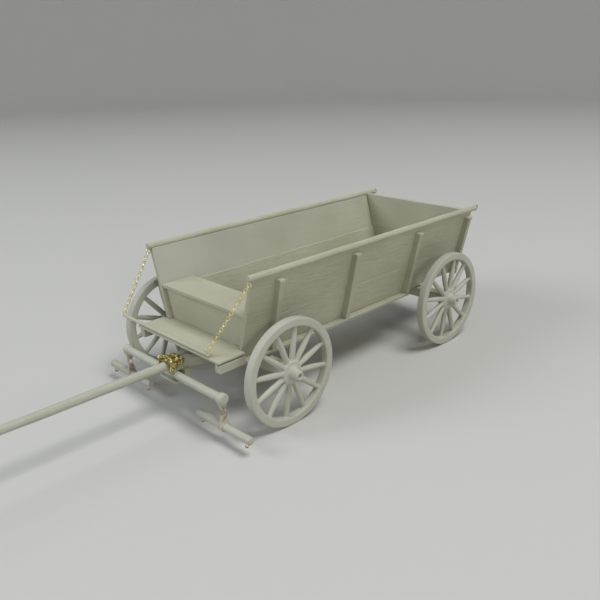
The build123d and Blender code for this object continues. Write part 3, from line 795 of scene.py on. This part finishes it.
# the long bar: a profile turned about y, with a knob at each end and two lugs below it
def doubletreeShapes(form):
    half = doubleHigh[1]
    knobY = half - form["knobLength"]
    before, after = form["knobStart"]
    side = [(knobY - before, form["radius"]), (knobY + after, form["knobRadius"])]
    side += [(half - back, form["knobRadius"] - inwards) for back, inwards in form["knobEnd"]]
    profile = [(-y, radius) for y, radius in side[::-1]] + side
    lug = lugShape(form, doubleZ, upperHoleZ - form["holeRadius"] - form["tipWall"])
    return [turned(profile, [doubleX, 0, doubleZ], 1, segments=40), lug, *onSide([lug], "right")]


# left bracket: a strap turned about the short bar's line, and a lug from it up to the ring
def bracketShapes(form):
    outer, half = form["strapRadius"], form["strapWidth"] / 2
    slope, fall = form["strapEdge"]
    profile = [(-half, outer - fall), (-half + slope, outer), (half - slope, outer), (half, outer - fall)]
    strap = turned(profile, [doubleX, form["hangY"], singleZ], 1, segments=36)
    return [strap, lugShape(form, singleZ, lowerHoleZ + form["holeRadius"] + form["tipWall"])]


# the wire ring that hangs the left short bar from the long one
def draughtRing(form):
    directions = np.eye(3)[[1, 2, 0]]
    return wireRing([doubleX, form["hangY"], ringZ], form["ringRadius"], form["ringWire"], directions, 36)


# the wire eyes below both ends of the left short bar
def traceEyes(form):
    shapes = []
    for place in (-1, 1):
        y = form["hangY"] + place * (singleHalf - form["eyeInset"])
        z = singleZ - form["singleRadius"] - form["eye"]["radius"] - form["eyeGap"]
        shapes += wireEye([doubleX, y, z], (0, 1, 0), (0, 0, 1), form["eye"])
    return shapes


makePiece("doubletreeCasting", doubletreeShapes(draughtForm), barResin, ["doubletree"], "doubletree",
          voxel=draughtForm["voxel"], melt=draughtForm["melt"])
singleY = middleOf("singletree_left")[1]
singleRod = roundBar([doubleX, singleY - singleHalf, singleZ], [doubleX, singleY + singleHalf, singleZ],
                     draughtForm["singleRadius"], 1, {**barForm, "wander": draughtForm["singleWander"]}, 32)
for side in sides:
    body, end = f"singletree_{side}", side.title()
    makePiece(f"singletreeRod{end}", onSide([singleRod], side), barResin, [body], body)
    makePiece(f"singletreeBracket{end}", onSide(bracketShapes(draughtForm), side), pinkPutty, (), body,
              voxel=draughtForm["voxel"], melt=draughtForm["bracketMelt"])
    makePiece(f"draughtWireRing{end}", onSide([draughtRing(draughtForm)], side), copperWire,
              [f"draught_ring_{side}"], body)
    makePiece(f"traceWireEyes{end}", onSide(traceEyes(draughtForm), side), copperWire,
              [f"trace_eyes_{side}"], body)
print("draught gear made")


# chains and the eyes on the rails

chainForm = {
    "length": 1.25, "width": 0.82, "wire": 0.2, "clearance": 0.04, "linkPoints": 16,
    "eye": {"radius": 0.45, "wire": 0.13, "shank": 0.5},
    "railEye": {"radius": 0.6, "wire": 0.13, "shank": 0.5},
    "railInset": 0.2, "leftInset": 0.5, "rightInset": 0.53,    # from the ends of rail and foot bar
    "rightRise": 0.8,    # share of the foot bar's rise at the right eye
}


# eye centres of a chain, the rail's first
def chainEnds(form, side):
    top = np.array([railHigh[0] - form["railInset"], sides[side] * railMiddle[1],
                    railMiddle[2] - railRadius - form["eye"]["radius"]])
    footZ = floorTopZ + 2 * footBarForm["radius"]
    footY = barHigh[1] - form["leftInset"]
    if side == "right":
        footY = barLow[1] + form["rightInset"]
        footZ += footBarForm["tipRise"] * form["rightRise"]
    return top, np.array([barX, footY, footZ + form["eye"]["radius"]])


# a link's path: two half circles joined by straights, in the plane of two directions
def linkPath(form, centre, along, across):
    radius = form["width"] / 2 - form["wire"] / 2
    straight = form["length"] / 2 - form["wire"] / 2 - radius
    count = form["linkPoints"]
    angle = np.radians(np.linspace(0, 360, count, endpoint=False) + 180 / count)
    forward = radius * np.sin(angle) + np.sign(np.sin(angle)) * straight
    return centre + forward[:, None] * along + (radius * np.cos(angle))[:, None] * across


# links from eye to eye, every other one turned a quarter about the line
def chainShapes(form, side):
    top, foot = chainEnds(form, side)
    along = (foot - top) / np.linalg.norm(foot - top)
    eye = form["eye"]
    hook = eye["radius"] - eye["wire"] - form["clearance"] - form["wire"] + form["length"] / 2
    first, last = top + along * hook, foot - along * hook
    pitch = form["length"] - 2 * form["wire"] - form["clearance"]
    steps = 2 * math.ceil(np.linalg.norm(last - first) / pitch / 2)
    level = np.cross(along, [0, 0, 1])
    level /= np.linalg.norm(level)
    upright = np.cross(along, level)
    shapes = []
    for i in range(steps + 1):
        across, normal = (level, upright) if i % 2 == 0 else (upright, level)
        path = linkPath(form, first + (last - first) * i / steps, along, across)
        shapes.append(tube(path, form["wire"] / 2, normal, segments=7, closed=True))
    return shapes + wireEye(top, level, (0, 0, 1), eye) + wireEye(foot, level, (0, 0, -1), eye)


# the wire eye in a rail's rear end
def railEye(form, side):
    centre = [railLow[0] - form["railEye"]["radius"], sides[side] * railMiddle[1], railMiddle[2]]
    return wireEye(centre, (0, 1, 0), (1, 0, 0), form["railEye"])


for side in sides:
    makePiece(f"chainLinks{side.title()}", chainShapes(chainForm, side), chainBrass,
              [f"chain_{side}", f"chain_eyes_{side}"])
    makePiece(f"railWireEye{side.title()}", railEye(chainForm, side), dullWire, [f"rail_eye_{side}"])
print("chains made")


# brass hitch over the pole's rear end

hitchForm = {
    "thickness": 0.24, "inset": (0.12, 0.06), "corner": 0.3, "edge": 0.05, "flangeRounding": 0.2,
    # the flange's outline, as shares of its length and drop
    "flange": ((0.0, 0.0), (1.0, 0.0), (1.0, -0.55), (0.93, -0.85), (0.78, -1.0), (0.6, -0.95),
               (0.45, -0.7), (0.25, -0.62), (0.0, -0.5)),
    # rings on top: along x, along y, and radius
    "topRings": ((-1.45, -1.7, 0.42), (-0.3, -1.75, 0.5), (0.95, -1.7, 0.55), (-1.6, -0.2, 0.36),
                 (-1.4, 1.6, 0.45), (-0.2, 1.65, 0.52), (1.1, 1.5, 0.6), (1.6, 0.1, 0.36)),
    # rings on each flange: along x, above the plate's top, and radius
    "sideRings": ((-1.5, -0.55, 0.4), (-0.6, -0.85, 0.45), (0.35, -1.05, 0.55), (1.45, -1.7, 0.72),
                  (1.5, -0.45, 0.4)),
    "wire": 0.14, "ringLift": 0.1, "studShare": 0.3, "topStud": 0.14, "sideStud": 0.12,
    "staples": (-0.8, 0.8), "staple": (1.2, 0.6, 0.1, 0.17),    # half width, rise, depth in the plate, wire
    "frontEye": (0.42, 0.13, 0.4, 0.1),    # radius, wire, back from the front, in from the side
    "frontLean": (0.34, 0.94),    # outwards and up
}
boltForm = {"turn": 15, "rings": ((-0.3, 1.0), (0.75, 1.0), (1.0, 0.78))}    # shares of height and radius
hitchLow, hitchHigh = spanOf("hitch_plate")


# a bolt head standing on a face: a hexagon carried outwards and drawn in at its top
def boltHead(centre, outward, size, height):
    outward = np.array(outward, float)
    axis = int(np.argmax(np.abs(outward)))
    angle = np.radians(np.arange(6) * 60 + boltForm["turn"])
    first, second = [i for i in range(3) if i != axis]
    rings = []
    for heightShare, radiusShare in boltForm["rings"]:
        ring = np.tile(np.array(centre, float), (6, 1))
        ring[:, first] += size * radiusShare * np.cos(angle)
        ring[:, second] += size * radiusShare * np.sin(angle)
        ring[:, axis] += outward[axis] * height * heightShare
        rings.append(ring)
    return ringShape(np.array(rings))


# the folded plate: a flat top and a lobed flange down each side
def hitchPlateShapes(form):
    x0, x1 = hitchLow[0], hitchHigh[0]
    y, z = hitchHigh[1] - form["inset"][0], hitchHigh[2] - form["inset"][1]
    t, drop = form["thickness"], hitchHigh[2] - hitchLow[2]
    shapes = [board(rectangle((x0, -y), (x1, y), form["corner"]), z - t, z, 2, form["edge"])]
    for sign in (1, -1):
        corners = [(x0 + (x1 - x0) * a, z - t / 2 + (drop - t) * b) for a, b in form["flange"]]
        outline = roundedOutline(corners[::-1], form["flangeRounding"], 3)
        near, far = sorted((sign * y, sign * (y - t)))
        shapes.append(board(outline, near, far, 1, form["edge"]))
    return shapes


# what stands out of the plate: etched rings with a stud in each, staples, and wire eyes in front
def hitchRingShapes(form):
    middleX = middleOf("hitch_plate")[0]
    y, z = hitchHigh[1:]
    half, rise, foot, stapleWire = form["staple"]
    eyeRadius, eyeWire, eyeBack, eyeInset = form["frontEye"]
    east, north, up = np.eye(3)
    shapes = []
    for column, row, radius in form["topRings"]:
        centre = [middleX + column, row, z + form["ringLift"]]
        shapes.append(wireRing(centre, radius, form["wire"], (east, north, up), 22, 8))
        shapes.append(boltHead([middleX + column, row, z], up, radius * form["studShare"], form["topStud"]))
    for column in form["staples"]:
        arch = np.radians(np.linspace(0, 180, 15))
        path = np.stack([np.full_like(arch, middleX + column), half * np.cos(arch),
                         z - foot + rise * np.sin(arch)], 1)
        shapes.append(tube(path, stapleWire, east, segments=8))
    for sign in (1, -1):
        for column, above, radius in form["sideRings"]:
            centre = [middleX + column, sign * y, z + above]
            shapes.append(wireRing(centre, radius, form["wire"], (east, up, north), 24, 8))
            shapes.append(boltHead(centre, sign * north, radius * form["studShare"], form["sideStud"]))
        lean = np.array([0, sign * form["frontLean"][0], form["frontLean"][1]])
        centre = [hitchHigh[0] - eyeBack, sign * (y - eyeInset), z + form["ringLift"]]
        shapes.append(wireRing(centre, eyeRadius, eyeWire, (east, lean, np.cross(east, lean)), 24, 8))
    return shapes


# the plate's darker brass is painted shade, the rings' brighter brass painted highlight
makePiece("hitchPlate", hitchPlateShapes(hitchForm), shadedPlateBrass, ["hitch_plate"], "front_gear",
          sharpDegrees=30)
makePiece("hitchRings", hitchRingShapes(hitchForm), highlitBrass, (), "front_gear", sharpDegrees=30)
print("hitch made")


# finishes of the CAD nodes that stay

nodeFinish = {
    # the pin takes the brighter brass, a painted highlight
    "hitch_pin": highlitBrass,
    "reach": grainedResin,
    "seat_cleat_left": grainedResin,
    "seat_cleat_right": grainedResin,
    "front_bolster": crossGrainedResin,
    "rear_bolster": crossGrainedResin,
}
for nodeName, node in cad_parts.items():
    node.data.materials.clear()
    node.data.materials.append(nodeFinish.get(nodeName, castResin))
print("finishes given")


# floor, light and camera

studio = {
    "floor": "#C0C0BC", "roughness": 0.9, "fibreMm": 0.8, "fibreDepthMm": 0.02,
    "floorRadius": 1500.0, "innerRadius": 300.0, "wallHeight": 900.0, "bend": 500.0,
    "world": "#F2F4F6", "worldStrength": 0.29,
}


# pale floor: a disc whose rim curves up into a wall, a profile turned about z
def studioFloor(form):
    material, tree, shader, place = startMaterial("paleStudioPaper")
    relief = fineRelief(tree, place, form["fibreMm"], form["fibreDepthMm"])
    tree.links.new(relief.outputs["Normal"], shader.inputs["Normal"])
    shader.inputs["Base Color"].default_value = hexToLinear(form["floor"])
    shader.inputs["Roughness"].default_value = form["roughness"]
    turn = np.radians(np.linspace(-90, 0, 16))
    bend, flatRadius = form["bend"], form["floorRadius"] - form["bend"]
    rims = [(0.0, 1.0), (0.0, form["innerRadius"]), (0.0, flatRadius)]
    rims += [(bend * (1 + math.sin(a)), flatRadius + bend * math.cos(a)) for a in turn[1:]]
    rims.append((bend + form["wallHeight"], form["floorRadius"]))
    points, faces = turned(rims, [0, 0, 0], 2, segments=96)
    faces = [face[::-1] for face in faces[:-2]] + [faces[-2]]    # all turned up, the far rim left open
    mesh = bpy.data.meshes.new("studioFloor")
    mesh.from_pydata((points / mmPerMetre).tolist(), [], faces)
    mesh.polygons.foreach_set("use_smooth", [True] * len(mesh.polygons))
    mesh.materials.append(material)
    addObject("studioFloor", mesh)


studioFloor(studio)
world = bpy.data.worlds.new("softSky")
bpy.context.scene.world = world
world.use_nodes = True
background = world.node_tree.nodes["Background"]
background.inputs["Color"].default_value = hexToLinear(studio["world"])
background.inputs["Strength"].default_value = studio["worldStrength"]


# stands a lamp or camera at a place in metres, by its own three axes
def standAt(thing, place, right, up, back):
    turn = np.stack([right, up, back], 1)
    thing.matrix_world = Matrix.Translation(place.tolist()) @ Matrix(turn.tolist()).to_4x4()


# places and sizes in mm, power in watts
lamps = {
    "coolBox": {"at": (760, -520, 600), "size": 520, "power": 5.2, "colour": "#F1F6FF"},
    "sideBox": {"at": (365, 950, 430), "size": 250, "power": 2.2, "colour": "#FFFDF8"},
    "topBox": {"at": (-120, 420, 1050), "size": 520, "power": 7.8, "colour": "#FDFDFD"},
}
lampTarget = np.array([-30, 0, 20]) / mmPerMetre


# a soft round lamp turned to the target
def addLamp(name, form):
    data = bpy.data.lights.new(name, "AREA")
    data.shape = "DISK"
    data.size = form["size"] / mmPerMetre
    data.energy = form["power"]
    data.color = hexToLinear(form["colour"])[:3]
    place = np.array(form["at"], float) / mmPerMetre
    back = place - lampTarget
    back /= np.linalg.norm(back)
    right = np.cross([0, 0, 1], back)
    right /= np.linalg.norm(right)
    standAt(addObject(name, data), place, right, np.cross(back, right), back)


for lampName, lamp in lamps.items():
    addLamp(lampName, lamp)

photoCamera = {
    "azimuth": 45.85, "elevation": 20.5, "roll": -1.45,    # degrees, read from the photograph
    "distance": 178.15, "target": (-23.36, 3.46, 18.74),    # mm, from the ground under the front axle
    "focalPixels": 668.61, "imagePixels": 600,
    "sensorMm": 36.0, "clipMetres": (0.005, 20.0),
}


# back points from the target to the camera, and the level right and the up above it turn by the roll
def aimCamera(form):
    azimuth, elevation, roll = (math.radians(form[key]) for key in ("azimuth", "elevation", "roll"))
    back = np.array([math.cos(elevation) * math.cos(azimuth), math.cos(elevation) * math.sin(azimuth),
                     math.sin(elevation)])
    level = np.array([-math.sin(azimuth), math.cos(azimuth), 0.0])
    above = np.cross(back, level)
    right = level * math.cos(roll) + above * math.sin(roll)
    up = above * math.cos(roll) - level * math.sin(roll)
    target = np.array(form["target"]) + [frontAxleX, 0, 0]
    data = bpy.data.cameras.new("photoCamera")
    data.sensor_width = form["sensorMm"]
    data.lens = form["focalPixels"] * form["sensorMm"] / form["imagePixels"]
    data.clip_start, data.clip_end = form["clipMetres"]
    camera = addObject("photoCamera", data)
    standAt(camera, (target + back * form["distance"]) / mmPerMetre, right, up, back)
    bpy.context.scene.camera = camera


aimCamera(photoCamera)
bpy.context.scene.view_settings.view_transform = "Standard"
print("studio made")
